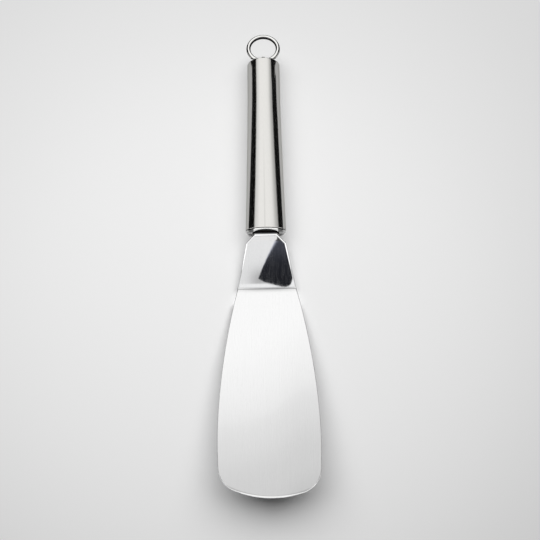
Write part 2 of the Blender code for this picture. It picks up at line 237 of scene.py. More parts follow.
# More standing cards as name, one foot, other foot, height and level: beside the handle, far in front, and
# round the ring
NEAR_STRIPS = (
    ("near_strip", (80.0, 160.0), (84.0, 124.0), 45.0, BLACK),
    ("near_strip_front", (84.0, 124.0), (169.0, 61.0), 45.0, BLACK),
)
LOW_CARDS = (
    ("low_front", (-110.0, -520.0), (110.0, -520.0), 55.0, 1.3),
    ("low_front_left", (-110.0, -520.0), (-200.0, -500.0), 80.0, 2.3),
    ("low_front_right", (110.0, -520.0), (215.0, -500.0), 80.0, 2.3),
)
RING_FLAGS = (
    ("ring_flag_left", (-60.0, 158.0), (-60.0, 260.0), 50.0, BLACK),
    ("ring_flag_right", (60.0, 158.0), (60.0, 260.0), 50.0, BLACK),
    ("ring_flag_back", (-10.0, 138.5), (10.0, 138.5), 19.0, BLACK),
)
# Dark card flat over the table round the ring, and how high it lies
RING_FLOOR = ((-60.0, 163.0), (-12.0, 139.0), (12.0, 139.0), (60.0, 163.0), (60.0, 200.0), (-60.0, 200.0))
RING_FLOOR_Z = 0.3
# Small dark card far in front, just above the table: across and up, its place along Y and its level
LOW_DARK = ((5.0, 0.0), (6.0, 27.0), (12.5, 31.5), (14.0, 55.0), (24.0, 55.0), (24.0, 0.0))
LOW_DARK_Y = -505.0
LOW_DARK_LEVEL = 0.1

# Dark card in front that the metal reflects, across and up on a leaning plane. The plane leans by
# DARK_CARD_RISE, lies DARK_CARD_OUT away and is measured from DARK_CARD_Z above the table
DARK_CARD = ((19.0, -101.0), (11.6, -86.0), (4.0, -69.0), (-7.5, -42.0), (-14.0, -25.0), (-6.0, -20.5),
             (2.0, -18.0), (13.0, -15.0), (19.0, -13.5), (24.0, -13.3), (28.0, -14.5), (31.0, -17.5),
             (32.5, -22.0), (34.0, -29.0), (38.0, -40.0), (38.0, -66.0), (36.0, -101.0))
DARK_CARD_OUT = 500.0
DARK_CARD_RISE = math.radians(29.0)
DARK_CARD_Z = 19.0
DARK_TINT = (0.9, 0.95, 1.2)
# Its level by place up the plane: a little paler toward its foot
DARK_LEVELS = ((-101.0, 0.3), (-84.0, 0.17), (-66.0, 0.115), (-50.0, 0.06), (-30.0, 0.035), (-12.0, 0.03))
# Its soft left edge as a line: SOFT_START across at SOFT_FROM up, change per height, and softness by height
SOFT_FROM = -42.0
SOFT_START = -7.5
SOFT_SLOPE = -0.449
SOFT_WIDTHS = ((-101.0, 6.5), (-84.0, 4.5), (-60.0, 1.8), (SOFT_FROM, 0.5))
# Card with a soft shade, on a plane a little behind it: the shade's middle, widths and depth
SHADE_CARD = ((-62.0, -70.0), (12.0, -70.0), (12.0, -18.0), (-62.0, -18.0))
SHADE_CARD_BACK = 2.0
SHADE_MIDDLE = (-12.0, -24.0)
SHADE_WIDTHS = (14.0, 15.0)
SHADE_DEPTH = 0.42

# World: what the eye and the metal see, and its light
SEEN_TONE = (0.80, 0.80, 0.80, 1.0)
LIT_TONE = (0.07, 0.07, 0.07, 1.0)
# Table: half-length, and how far it lies below the tool
TABLE_HALF = 4000.0
TABLE_DROP = 0.02
TABLE_ROUGH = 0.9
# Middle of its pale part, in metres, and by distance from there its shade, a painted pool of light that
# darkens outward, and how far it is like the world
TABLE_CENTRE = (-0.023, -0.068, 0.0)
TABLE_PAINTED_FALLOFF = ((0.0, 0.86), (0.08, 0.845), (0.16, 0.808), (0.24, 0.735), (0.32, 0.675), (0.6, 0.66))
TABLE_GLOW = ((0.0, 0.0), (0.33, 0.0), (0.8, 1.0), (1.6, 1.0))

# Lamp: place and size in metres, tilt and power
LAMP_PLACE = (-0.06, 0.44, 0.905)
LAMP_SIZE = (1.5, 0.85)
LAMP_AIM = 66.0
LAMP_POWER = 18.4
# Strip that throws the handle's shadow: height, how much narrower it is than the tube, shift along X and Y,
# how far it goes past the ring end, and how much narrower still it is there and over what length
SHADOW_Z = 17.0
SHADOW_IN = 1.7
SHADOW_X = -0.7
SHADOW_Y = 7.0
SHADOW_BEYOND = 5.0
SHADOW_TAPER = 1.1
SHADOW_TAPER_LEN = 45.0
SHADOW_STEPS = 12
# The same at the neck's shoulder and at the heel
NECK_SHADOW_Z = 10.0
NECK_SHADOW_Y = 4.0
NECK_SHADOW_IN = 0.3
HEEL_SHADOW_Z = 4.5
# The blade's part of it: how much longer it is, and its share in width
BLADE_SHADOW_OUT = 1.1
BLADE_SHADOW_WIDE = 1.012

# Camera: place, turn in the picture, lens, sensor, and the nearest and farthest that it sees in metres
CAM_X = 2.3
CAM_Y = -6.99
CAM_HEIGHT = 525.0
CAM_ROLL = 0.92
CAM_LENS = 50.0
CAM_SENSOR = 36.0
CAM_CLIP = (0.01, 20.0)

# Angles in radians, and directions: along the handle toward the ring, square to that, and across
TILT = math.radians(LIE_ANGLE)
SLOPE = math.radians(NECK_SLOPE)
END_CUT = math.tan(math.radians(END_CUT_ANGLE))
ALONG = Vector((0.0, math.cos(TILT), -math.sin(TILT)))
ABOVE = Vector((0.0, math.sin(TILT), math.cos(TILT)))
SIDE = Vector((1.0, 0.0, 0.0))
# The ring's hinge, in metres
HINGE = Vector(frame["joints"][0]["pos_m"])


# Places of the solids

def raw_axis(out):
    """Point of the handle's axis, with the middle of the ring end at Y 0."""
    height = TUBE_R * (math.cos(TILT) - END_CUT * math.sin(TILT))
    return Vector((0.0, 0.0, height)) + ALONG * out


SHIFT = Vector((0.0, (raw_axis(EYE_OUT) - ABOVE * EYE_DROP).y - HINGE.y / MM, 0.0))


def on_axis(out):
    """Point of the handle's axis at a distance beyond the ring end, in the frame."""
    return raw_axis(out) - SHIFT


def find_heel(crest):
    """Corner where the middle planes of the neck and the blade meet."""
    height = BEND_R + SHEET_T / 2.0
    height -= BEND_R * math.cos((SLOPE - TILT) / 2.0) / math.cos((SLOPE + TILT) / 2.0)
    return Vector((0.0, crest.y - (crest.z - height) / math.tan(SLOPE), height))


CREST_CORNER = on_axis(-TUBE_LEN - CREST_OUT)
HEEL_CORNER = find_heel(CREST_CORNER)
NECK_DOWN = (HEEL_CORNER - CREST_CORNER).normalized()
NECK_LIFT = Vector((0.0, NECK_DOWN.z, -NECK_DOWN.y))


def tube_half_sizes(back):
    """Half-width and half-height of the handle at a distance from the ring end."""
    t = min(1.0, max(0.0, (back - ROUND_LEN) / (TUBE_LEN - ROUND_LEN)))
    t = t * (FLARE_EVEN + (1.0 - FLARE_EVEN) * t)
    wide = TUBE_R + (MOUTH_HALF_W - TUBE_R) * t
    high = TUBE_R + (MOUTH_HALF_H - TUBE_R) * t
    return wide, high


def oval(back, wide, high, lean):
    """Points of a section of the handle, leaned along it by height."""
    ring = []
    for i in range(FACES_ROUND):
        a = 2.0 * math.pi * (i + 0.5) / FACES_ROUND
        up = high * math.cos(a)
        ring.append(on_axis(-back - lean * up) + SIDE * (wide * math.sin(a)) + ABOVE * up)
    return ring


def ring_centre():
    """Middle of the ring at rest, its direction away from the handle and the one square to its plane."""
    near = HINGE / MM - Vector((0.0, 0.0, EYE_HOLE_R - RING_WIRE_R - GAP))
    drop = math.asin((near.z - RING_WIRE_R) / (2.0 * RING_R))
    out = Vector((0.0, math.cos(drop), -math.sin(drop)))
    up = Vector((0.0, math.sin(drop), math.cos(drop)))
    return near + out * RING_R, out, up


# Mesh helpers

def new_object(name, work, sharp_angle):
    """Mesh object in metres from a bmesh in millimetres."""
    bmesh.ops.recalc_face_normals(work, faces=work.faces)
    bmesh.ops.scale(work, vec=(MM, MM, MM), verts=work.verts)
    mesh = bpy.data.meshes.new(name)
    work.to_mesh(mesh)
    work.free()
    obj = bpy.data.objects.new(name, mesh)
    bpy.context.scene.collection.objects.link(obj)
    for poly in mesh.polygons:
        poly.use_smooth = True
    mesh.set_sharp_from_angle(angle=math.radians(sharp_angle))
    return obj


def even_normals(obj):
    """Let the large flat faces set the shading beside the small round ones."""
    mod = obj.modifiers.new("even_normals", "WEIGHTED_NORMAL")
    mod.mode = "FACE_AREA"
    mod.weight = 80
    mod.keep_sharp = True


def skin(work, rings, closed):
    """Faces between rings of points, closed into a loop or capped at both ends."""
    rows = [[work.verts.new(p) for p in ring] for ring in rings]
    count = len(rows)
    for i in range(count if closed else count - 1):
        low = rows[i]
        high = rows[(i + 1) % count]
        for k in range(len(low)):
            n = (k + 1) % len(low)
            work.faces.new((low[k], low[n], high[n], high[k]))
    if not closed:
        work.faces.new(rows[0])
        work.faces.new(list(reversed(rows[-1])))


def lofted(name, rings, sharp_angle):
    """Closed loft, such as a hollow tube or a ring."""
    work = bmesh.new()
    skin(work, rings, closed=True)
    return new_object(name, work, sharp_angle)


def put(piece, body, node, material):
    """Ride a body, stand for a solid and take a material."""
    piece.data.materials.clear()
    piece.data.materials.append(material)
    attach(piece, body)
    if node:
        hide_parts(node)
    return piece


# Outline of the flat sheet before it is bent: s runs from the tang's inner end to the tip, b from the heel

BEND_TURN = TILT + SLOPE
BEND_TAN = BEND_R * math.tan(BEND_TURN / 2.0)
BEND_LEN = BEND_R * BEND_TURN
NECK_LEN = (CREST_CORNER - HEEL_CORNER).length
S_CREST = TANG_DEPTH + CREST_OUT - BEND_TAN
S_NECK = S_CREST + BEND_LEN
S_HEEL = S_NECK + NECK_LEN - 2.0 * BEND_TAN
S_BLADE = S_HEEL + BEND_LEN
TIP_B = BLADE_LEN - SHEET_T / 2.0 * math.tan(TILT) - TIP_INSIDE
S_TIP = S_BLADE + TIP_B - BEND_TAN


def side_half_width(b):
    return HEEL_HALF_W + (BLADE_HALF_W - HEEL_HALF_W) * (1.0 - abs(1.0 - b / WIDEST_AT) ** SIDE_CURVE)


def corner_circle(b):
    """Centre of the corner's round that touches the side at b, and the angle at which it touches."""
    rise = (side_half_width(b + SLOPE_STEP) - side_half_width(b - SLOPE_STEP)) / (2.0 * SLOPE_STEP)
    angle = math.pi / 2.0 + math.atan(rise)
    return b - CORNER_R * math.cos(angle), side_half_width(b) - CORNER_R * math.sin(angle), angle


def find_corner(tip_x):
    """Where the corner's round leaves the side, so that it also touches the tip's round."""
    tip_b = TIP_B - TIP_R
    low = TIP_B / 2.0
    high = TIP_B
    for _ in range(FIND_STEPS):
        mid = (low + high) / 2.0
        b, w, angle = corner_circle(mid)
        if math.hypot(b - tip_b, w - tip_x) < TIP_R - CORNER_R:
            low = mid
        else:
            high = mid
    return low


def fillet(before, corner, after, radius):
    """Points of a round at a corner of an outline."""
    u = (before - corner).normalized()
    v = (after - corner).normalized()
    half = u.angle(v) / 2.0
    reach = radius / math.tan(half)
    start = corner + u * reach
    end = corner + v * reach
    centre = corner + (u + v).normalized() * (radius / math.sin(half))
    points = []
    for i in range(CORNER_STEPS + 1):
        mix = (start - centre).lerp(end - centre, i / CORNER_STEPS)
        points.append(centre + mix.normalized() * radius)
    return points


def half_outline(side):
    """Half of the flat outline on one side as (s, x, bevel's share), from the tang's end to the tip."""
    tip_x = TIP_SHIFT * side
    start = find_corner(tip_x)
    b0, w0, angle = corner_circle(start)
    tip_b = TIP_B - TIP_R
    meet = math.atan2(w0 - tip_x, b0 - tip_b)
    to_s = S_BLADE - BEND_TAN
    line = [Vector(p) for p in (
        (0.0, 0.0),
        (0.0, TANG_HALF_W),
        (S_CREST + BEND_LEN * FLARE_AT, TANG_HALF_W),
        (S_NECK + SHOULDER_DOWN - BEND_TAN, SHOULDER_HALF_W),
        ((S_HEEL + S_BLADE) / 2.0, HEEL_HALF_W),
        (S_BLADE + HEEL_NEXT - BEND_TAN, side_half_width(HEEL_NEXT)),
    )]
    points = []
    for before, corner, after, radius in zip(line, line[1:], line[2:], CORNER_ROUNDS):
        points += [(p.x, p.y, 0.0) for p in fillet(before, corner, after, radius)]
    for i in range(SIDE_FIRST, SIDE_STEPS):
        b = start * i / SIDE_STEPS
        points.append((to_s + b, side_half_width(b), 0.0))
    first = GRIND_START - GRIND_START_LEAN * side
    for i in range(CURVE_STEPS):
        t = i / CURVE_STEPS
        a = angle + (meet - angle) * t
        share = GRIND_FADE * max(0.0, (t - first) / (1.0 - first))
        points.append((to_s + b0 + CORNER_R * math.cos(a), w0 + CORNER_R * math.sin(a), share))
    for i in range(CURVE_STEPS + 1):
        t = i / CURVE_STEPS
        a = meet * (1.0 - t)
        share = GRIND_FADE + (1.0 - GRIND_FADE) * t * (2.0 - t)
        points.append((to_s + tip_b + TIP_R * math.cos(a), tip_x + TIP_R * math.sin(a), share))
    return points


def full_outline():
    right = half_outline(1.0)
    left = [(s, -x, share) for s, x, share in half_outline(-1.0)[:-1]]
    left.reverse()
    return right + left


def edge_width(s):
    """Width of the rounding in plan: wide on the neck, narrow on the tang and the blade."""
    rise = min(1.0, max(0.0, (s - S_CREST) / BEND_LEN))
    fall = min(1.0, max(0.0, (S_BLADE + NECK_EDGE_FADE / 2.0 - s) / NECK_EDGE_FADE))
    return EDGE_R + (NECK_EDGE_W - EDGE_R) * rise * fall


def edge_profile(s, share):
    """Rows of the sheet's edge as (inset, height): round for share 0, ground for share 1."""
    top = SHEET_T / 2.0
    flat = top - EDGE_R
    width = edge_width(s)
    rows = []
    for k in range(EDGE_STEPS + 1):
        a = math.pi * k / EDGE_STEPS
        up = EDGE_R * math.cos(a) + (flat if k < EDGE_STEPS / 2 else -flat if k > EDGE_STEPS / 2 else 0.0)
        inset = width - width * math.sin(a)
        if k <= GRIND_STEPS:
            t = k / GRIND_STEPS
            ground_in = VISIBLE_GRIND_W * (1.0 - t) + GRIND_FOOT_IN * t
            ground_up = top - (SHEET_T - GRIND_LAND) * t
        else:
            ground_in, over = GRIND_LOW[k - GRIND_STEPS - 1]
            ground_up = -top + over
        rows.append((inset + (ground_in - inset) * share, up + (ground_up - up) * share))
    return rows


def inward_normals(points):
    """Directions into the outline, longer at a corner so that an inset keeps its width."""
    count = len(points)
    normals = []
    for i in range(count):
        here = Vector(points[i][:2])
        u = (here - Vector(points[i - 1][:2])).normalized()
        v = (Vector(points[(i + 1) % count][:2]) - here).normalized()
        n = Vector((u.y + v.y, -u.x - v.x)).normalized()
        normals.append(n * (1.0 / max(LEAST_MITRE, n.dot(Vector((u.y, -u.x))))))
    return normals


def fold(s, x, h):
    """Bend the flat sheet: h is the height above the sheet's middle."""
    if s <= S_CREST:
        p = CREST_CORNER + ALONG * (BEND_TAN + S_CREST - s) + ABOVE * h
    elif s < S_NECK:
        hub = CREST_CORNER + ALONG * BEND_TAN - ABOVE * BEND_R
        turn = (s - S_CREST) / BEND_R
        p = hub + (ABOVE * math.cos(turn) - ALONG * math.sin(turn)) * (BEND_R + h)
    elif s <= S_HEEL:
        p = CREST_CORNER + NECK_DOWN * (BEND_TAN + s - S_NECK) + NECK_LIFT * h
    elif s < S_BLADE:
        hub = HEEL_CORNER - NECK_DOWN * BEND_TAN + NECK_LIFT * BEND_R
        turn = (s - S_HEEL) / BEND_R
        p = hub + (NECK_DOWN * math.sin(turn) - NECK_LIFT * math.cos(turn)) * (BEND_R - h)
    else:
        p = HEEL_CORNER - ALONG * (BEND_TAN + s - S_BLADE) + ABOVE * h
    return p + SIDE * x


def cut_across(work, s):
    geom = list(work.verts) + list(work.edges) + list(work.faces)
    bmesh.ops.bisect_plane(work, geom=geom, plane_co=SIDE * s, plane_no=SIDE, dist=CUT_NEAR)


def make_head():
    """Tang, neck and blade as one sheet with round edges and a ground front edge."""
    outline = full_outline()
    normals = inward_normals(outline)
    profiles = [edge_profile(s, share) for s, x, share in outline]
    rings = []
    for k in range(EDGE_STEPS + 1):
        ring = []
        for (s, x, share), n, profile in zip(outline, normals, profiles):
            inset, up = profile[k]
            ring.append(Vector((s + n.x * inset, x + n.y * inset, up)))
        rings.append(ring)
    work = bmesh.new()
    skin(work, rings, closed=False)
    for first, last in ((S_CREST, S_NECK), (S_HEEL, S_BLADE)):
        for i in range(BEND_STEPS + 1):
            cut_across(work, first + (last - first) * i / BEND_STEPS)
    for vert in work.verts:
        s, x, h = vert.co
        vert.co = fold(s, x, h)
    head = new_object("blade_sheet", work, sharp_angle=55.0)
    even_normals(head)
    return head


def make_tube():
    """Hollow handle with a softly rounded rim at the ring end."""
    def section(back, inset):
        wide, high = tube_half_sizes(back)
        lean = -END_CUT * max(0.0, 1.0 - back / ROUND_LEN)
        return oval(back, wide - inset, high - inset, lean)

    end = TUBE_LEN - GAP
    backs = list(TUBE_BACKS)
    backs += [ROUND_LEN + (end - ROUND_LEN) * i / TUBE_STEPS for i in range(TUBE_STEPS)]
    rings = [section(0.0, TUBE_WALL - CAP_CHAMFER)]
    for k in range(RIM_STEPS, -1, -1):
        a = 0.5 * math.pi * k / RIM_STEPS
        rings.append(section(RIM_ROUND * (1.0 - math.sin(a)), RIM_ROUND * (1.0 - math.cos(a))))
    rings += [section(back, 0.0) for back in backs]
    rings += [section(end - TUBE_CHAMFER, 0.0), section(end, TUBE_CHAMFER), section(end, TUBE_WALL)]
    rings += [section(back, TUBE_WALL) for back in reversed(backs)]
    rings.append(section(CAP_CHAMFER, TUBE_WALL))
    return lofted("handle_shell", rings, sharp_angle=30.0)


def make_collar():
    """Polished lip with a rounded nose, and its spigot inside the tube."""
    wide, high = MOUTH_HALF_W, MOUTH_HALF_H - LIP_LOW
    open_w, open_h = OPEN_HALF_W, OPEN_HALF_H + OPEN_MORE
    groove_w, groove_h = wide - SEAM_DEEP, high - SEAM_DEEP
    start = TUBE_LEN + SEAM_W
    rings = [oval(TUBE_LEN, groove_w, groove_h, 0.0), oval(start, groove_w, groove_h, 0.0)]
    rings.append(oval(start, wide - LIP_CHAMFER, high - LIP_CHAMFER, 0.0))
    rings.append(oval(start + LIP_CHAMFER, wide, high, 0.0))
    for i in range(1, NOSE_STEPS + 1):
        a = 0.5 * math.pi * i / NOSE_STEPS
        inset = (1.0 - math.cos(a)) ** NOSE_POWER
        in_w = wide - (wide - open_w - NOSE_IN) * inset
        in_h = high - (high - open_h - NOSE_IN) * inset
        out = math.sin(a)
        back = start + LIP_CHAMFER + (LIP_OUT - SEAM_W - LIP_CHAMFER) * out
        rings.append(oval(back, in_w, in_h, -LIP_LEAN * out))
    for behind, more in OPEN_EDGE:
        rings.append(oval(TUBE_LEN + LIP_OUT - behind, open_w + more, open_h + more, -LIP_LEAN))
    rings.append(oval(TUBE_LEN - OPEN_FROM, open_w, open_h, 0.0))
    rings.append(oval(TUBE_LEN - OPEN_TO, OPEN_HALF_W, OPEN_HALF_H, 0.0))
    spigot_end = TUBE_LEN - SPIGOT_LEN
    spigot_w, spigot_h = tube_half_sizes(spigot_end)
    inside = TUBE_WALL + GAP
    rings.append(oval(spigot_end, OPEN_HALF_W, OPEN_HALF_H, 0.0))
    rings.append(oval(spigot_end, spigot_w - inside, spigot_h - inside, 0.0))
    rings.append(oval(TUBE_LEN, wide - inside, high - inside, 0.0))
    return lofted("mouth_lip", rings, sharp_angle=35.0)


def make_seam_shade():
    """Black band at the bottom of the groove between the tube and the lip, a painted shade."""
    back, out = -SEAM_SHADE_BACK - GAP, SEAM_W + SEAM_SHADE_OUT
    rings = []
    for place, inset in ((back, SEAM_SHADE_DEEP), (back, SEAM_SHADE_IN), (out, SEAM_SHADE_IN), (out, SEAM_SHADE_DEEP)):
        rings.append(oval(TUBE_LEN + place, MOUTH_HALF_W - inset, MOUTH_HALF_H - inset, 0.0))
    return lofted("seam_painted_shade", rings, sharp_angle=28.0)


def make_ring():
    """Round wire ring, its place taken from the eye's hole."""
    centre, out, up = ring_centre()
    rings = []
    for i in range(RING_SECTIONS):
        a = 2.0 * math.pi * i / RING_SECTIONS
        radial = out * math.cos(a) + SIDE * math.sin(a)
        hub = centre + radial * RING_R
        ring = []
        for k in range(RING_FACES):
            b = 2.0 * math.pi * k / RING_FACES
            ring.append(hub + (radial * math.cos(b) + up * math.sin(b)) * RING_WIRE_R)
        rings.append(ring)
    return lofted("wire_ring", rings, sharp_angle=60.0)


# Materials

class Graph:
    """Short-hand for a material's nodes. A value is a plain one or another node's output."""

    def __init__(self, tree):
        self.tree = tree

    def set(self, socket, value):
        if isinstance(value, bpy.types.NodeSocket):
            self.tree.links.new(value, socket)
        else:
            socket.default_value = value

    def node(self, kind, values, **attributes):
        node = self.tree.nodes.new("ShaderNode" + kind)
        for name, value in attributes.items():
            setattr(node, name, value)
        for name, value in values.items():
            self.set(node.inputs[name], value)
        return node

    def math(self, operation, *values, clamp=False):
        return self.node("Math", dict(enumerate(values)), operation=operation, use_clamp=clamp).outputs[0]

    def length(self, *parts):
        """Length of a vector from its parts."""
        total, *rest = [self.math("MULTIPLY", part, part) for part in parts]
        for square in rest:
            total = self.math("ADD", total, square)
        return self.math("SQRT", total)

    def blend(self, a, share_a, b, share_b):
        """Sum of two values, each times its share."""
        return self.math("ADD", self.math("MULTIPLY", a, share_a), self.math("MULTIPLY", b, share_b))

    def hump(self, value, middle, width):
        """Soft hump of height 1."""
        off = self.math("DIVIDE", self.math("SUBTRACT", value, middle), width)
        return self.math("EXPONENT", self.math("MULTIPLY", self.math("MULTIPLY", off, off), -1.0))

    def spread(self, value, source, target):
        """One range of values mapped to another."""
        ranges = {"From Min": source[0], "From Max": source[1], "To Min": target[0], "To Max": target[1]}
        return self.node("MapRange", {"Value": value, **ranges}).outputs["Result"]

    def ramp(self, value, stops):
        """Smooth steps through a table of levels."""
        low = stops[0][0]
        high = stops[-1][0]
        scaled = self.math("DIVIDE", self.math("SUBTRACT", value, low), high - low, clamp=True)
        node = self.node("FloatCurve", {"Value": scaled})
        curve = node.mapping.curves[0]
        while len(curve.points) < len(stops):
            curve.points.new(0.5, 0.5)
        for handle, (place, level) in zip(curve.points, stops):
            handle.location = ((place - low) / (high - low), level / RAMP_TOP)
            handle.handle_type = "AUTO_CLAMPED"
        node.mapping.update()
        return self.math("MULTIPLY", node.outputs[0], RAMP_TOP)

    def noise(self, vector, scale, detail, roughness):
        values = {"Vector": vector, "Scale": scale, "Detail": detail, "Roughness": roughness}
        return self.node("TexNoise", values).outputs["Fac"]

    def bump(self, height, strength, depth):
        values = {"Height": height, "Strength": strength, "Distance": depth * MM}
        return self.node("Bump", values).outputs["Normal"]

    def place(self):
        """Object coordinates in metres."""
        return self.node("TexCoord", {}).outputs["Object"]

    def axes(self):
        """Object coordinates in millimetres, one by one."""
        split = self.node("SeparateXYZ", {0: self.place()})
        return [self.math("DIVIDE", part, MM) for part in split.outputs]

    def mix_shader(self, share, first, second):
        return self.node("MixShader", {0: share, 1: first.outputs[0], 2: second.outputs[0]}).outputs[0]

    def seen(self):
        """1 for what the eye sees, also in metal or through glass, and 0 for what only gives light."""
        path = self.node("LightPath", {}).outputs
        share = self.math("MAXIMUM", path["Is Camera Ray"], path["Is Glossy Ray"])
        return self.math("MAXIMUM", share, path["Is Transmission Ray"])


def new_material(name):
    """Material with its graph and its main shader."""
    mat = bpy.data.materials.new(name)
    mat.use_nodes = True
    return mat, Graph(mat.node_tree), mat.node_tree.nodes["Principled BSDF"]


def steel(name, colour, roughness, grain, scale, stretch, bump, haze=0.0, edge_tint=(1.0, 1.0, 1.0),
          share=None):
    """Steel with drawn grain.

    grain is how much the roughness varies, stretch the noise's scale along x, y and z, haze the dull share
    of fine scratches, and share a function that gives the share of the colour by place on the piece.
    """
    mat, g, shader = new_material(name)
    shader.inputs["Metallic"].default_value = 1.0
    shader.inputs["Specular Tint"].default_value = edge_tint + (1.0,)
    mapping = g.node("Mapping", {"Vector": g.place(), "Scale": stretch, "Rotation": (TILT, 0.0, 0.0)})
    place = mapping.outputs["Vector"]
    noise = g.noise(place, scale, GRAIN_DETAIL, GRAIN_ROUGH)
    rough = g.spread(noise, GRAIN_RANGE, (roughness * (1.0 - grain), roughness * (1.0 + grain)))
    g.set(shader.inputs["Roughness"], rough)
    if haze:
        fine = g.noise(place, scale, HAZE_DETAIL, HAZE_ROUGH)
        g.set(shader.inputs["Metallic"], g.spread(fine, HAZE_RANGE, (1.0, 1.0 - haze)))
    dark, pale = [tuple(c * tone for c in colour) + (1.0,) for tone in GRAIN_TONES]
    base = g.node("Mix", {"Factor": noise, "A": dark, "B": pale}, data_type="RGBA").outputs["Result"]
    if share:
        values = {0: base, "Scale": share(g, *g.axes())}
        base = g.node("VectorMath", values, operation="SCALE").outputs[0]
    g.set(shader.inputs["Base Color"], base)
    g.set(shader.inputs["Normal"], g.bump(noise, bump, GRAIN_DEPTH))
    return mat


def lip_painted_light(g, x, y, z):
    """The lip's colour is darkened toward its sides by painted shade, and made paler again lower down by
    painted light.
    """
    return g.math("MAXIMUM", g.ramp(g.math("ABSOLUTE", x), LIP_PAINTED_SHADE), g.ramp(y, LIP_PAINTED_LIGHT))


def ring_painted_shade(g, x, y, z):
    """The wire's colour is darkened on the ring's inner side, a painted shade."""
    centre = ring_centre()[0]
    far = g.length(x, g.math("SUBTRACT", y, centre.y), g.math("SUBTRACT", z, centre.z))
    return g.ramp(far, RING_PAINTED_SHADE)


def tube_share(g, x, y, z):
    """Faint dark line along the top, stronger toward the mouth."""
    dark = g.math("MULTIPLY", g.hump(x, TOP_LINE_X, TOP_LINE_W), g.ramp(y, TOP_LINE_DEPTH))
    return g.math("SUBTRACT", 1.0, dark)


def sheet_painted_shade(g, x, y, z):
    """Painted shade: the colour is darker in the crease, on the bevel to dim its reflection, and on the tang
    inside the mouth.
    """
    # Painted shade in the crease at the heel
    crease = g.math("SUBTRACT", 1.0, g.ramp(y, HEEL_PAINTED_SHADE))
    crease = g.math("MULTIPLY", crease, g.ramp(g.math("ABSOLUTE", x), HEEL_SHADE_ACROSS))
    # Painted shade on the tang inside the mouth
    share = g.math("MULTIPLY", g.math("SUBTRACT", 1.0, crease), g.ramp(y, MOUTH_PAINTED_SHADE))
    # Painted shade that dims the bevel's reflection
    from_heel = g.math("DIVIDE", g.math("SUBTRACT", HEEL_CORNER.y, y), math.cos(TILT))
    ahead = g.math("MAXIMUM", g.math("SUBTRACT", from_heel, TIP_B - TIP_R), 0.0)
    far = g.length(ahead, g.math("SUBTRACT", x, TIP_SHIFT))
    return g.math("MULTIPLY", share, g.ramp(far, BEVEL_PAINTED_SHADE))


def black_plastic():
    mat, g, shader = new_material("black_plastic")
    shader.inputs["Base Color"].default_value = (PLASTIC_TONE, PLASTIC_TONE, PLASTIC_TONE, 1.0)
    shader.inputs["Specular IOR Level"].default_value = PLASTIC_GLOSS
    noise = g.noise(g.place(), PLASTIC_SCALE, PLASTIC_DETAIL, PLASTIC_NOISE_ROUGH)
    g.set(shader.inputs["Roughness"], g.spread(noise, (0.0, 1.0), PLASTIC_ROUGH))
    g.set(shader.inputs["Normal"], g.bump(noise, PLASTIC_BUMP, PLASTIC_DEPTH))
    return mat


# Studio cards

def toward(turn, reach):
    """Direction of a place on the studio's sphere."""
    a = math.radians(turn)
    b = math.radians(reach)
    return (SIDE * math.sin(a) + ABOVE * math.cos(a)) * math.cos(b) + ALONG * math.sin(b)


def emitter(name, level, tint=CARD_TINT):
    """Plain emission; level and tint are plain values or functions of the material's graph."""
    mat = bpy.data.materials.new(name)
    mat.use_nodes = True
    mat.node_tree.nodes.clear()
    g = Graph(mat.node_tree)
    colour = tint(g) if callable(tint) else tint + (1.0,)
    strength = level(g) if callable(level) else level
    glow = g.node("Emission", {"Color": colour, "Strength": strength})
    g.node("OutputMaterial", {"Surface": glow.outputs[0]})
    mat.cycles.emission_sampling = "NONE"
    return mat


def as_stage(name, work, level, tint=CARD_TINT):
    """Studio card that only reflections see."""
    obj = new_object(name, work, sharp_angle=180.0)
    obj.data.materials.append(emitter(name, level, tint))
    obj.visible_camera = False
    obj.visible_diffuse = False
    obj.visible_shadow = False


def card(name, turns, reaches, counts, level):
    """Curved card on the studio's sphere: its two spans, and how many faces it has along each."""
    work = bmesh.new()
    rows = []
    for i in range(counts[0] + 1):
        turn = turns[0] + (turns[1] - turns[0]) * i / counts[0]
        row = []
        for k in range(counts[1] + 1):
            reach = reaches[0] + (reaches[1] - reaches[0]) * k / counts[1]
            row.append(work.verts.new(toward(turn, reach) * CARD_R / MM))
        rows.append(row)
    for low, high in zip(rows, rows[1:]):
        for k in range(counts[1]):
            work.faces.new((low[k], low[k + 1], high[k + 1], high[k]))
    as_stage(name, work, level)


def flat_card(name, corners, level, tint=CARD_TINT):
    work = bmesh.new()
    work.faces.new([work.verts.new(p) for p in corners])
    as_stage(name, work, level, tint)


def upright(name, foot_a, foot_b, height, level):
    """Card standing on the table between two feet."""
    corners = [Vector((x, y, 0.0)) for x, y in (foot_a, foot_b)]
    corners += [c + Vector((0.0, 0.0, height)) for c in reversed(corners)]
    flat_card(name, corners, level)


def sphere_place(g):
    """Turn and reach of a place on the studio's sphere, and its height over the radius."""
    x, y, z = [g.math("DIVIDE", part, CARD_R / MM) for part in g.axes()]
    along = g.blend(y, math.cos(TILT), z, -math.sin(TILT))
    above = g.blend(y, math.sin(TILT), z, math.cos(TILT))
    degree = 180.0 / math.pi
    turn = g.math("MULTIPLY", g.math("ARCTAN2", x, above), degree)
    reach = g.math("MULTIPLY", g.math("ARCSINE", along), degree)
    return turn, reach, z


def box_level(g):
    turn, reach, height = sphere_place(g)
    lean = g.math("SUBTRACT", g.ramp(turn, BOX_LEAN), BOX_LEAN_ZERO)
    return g.math("MULTIPLY", g.ramp(turn, BOX_ACROSS), g.ramp(g.math("ADD", reach, lean), BOX_ALONG))


def front_level(g):
    turn, reach, height = sphere_place(g)
    return g.ramp(height, FRONT_LEVELS)


def flag_level(g):
    turn, reach, height = sphere_place(g)
    return g.ramp(reach, FLAG_LEVELS)


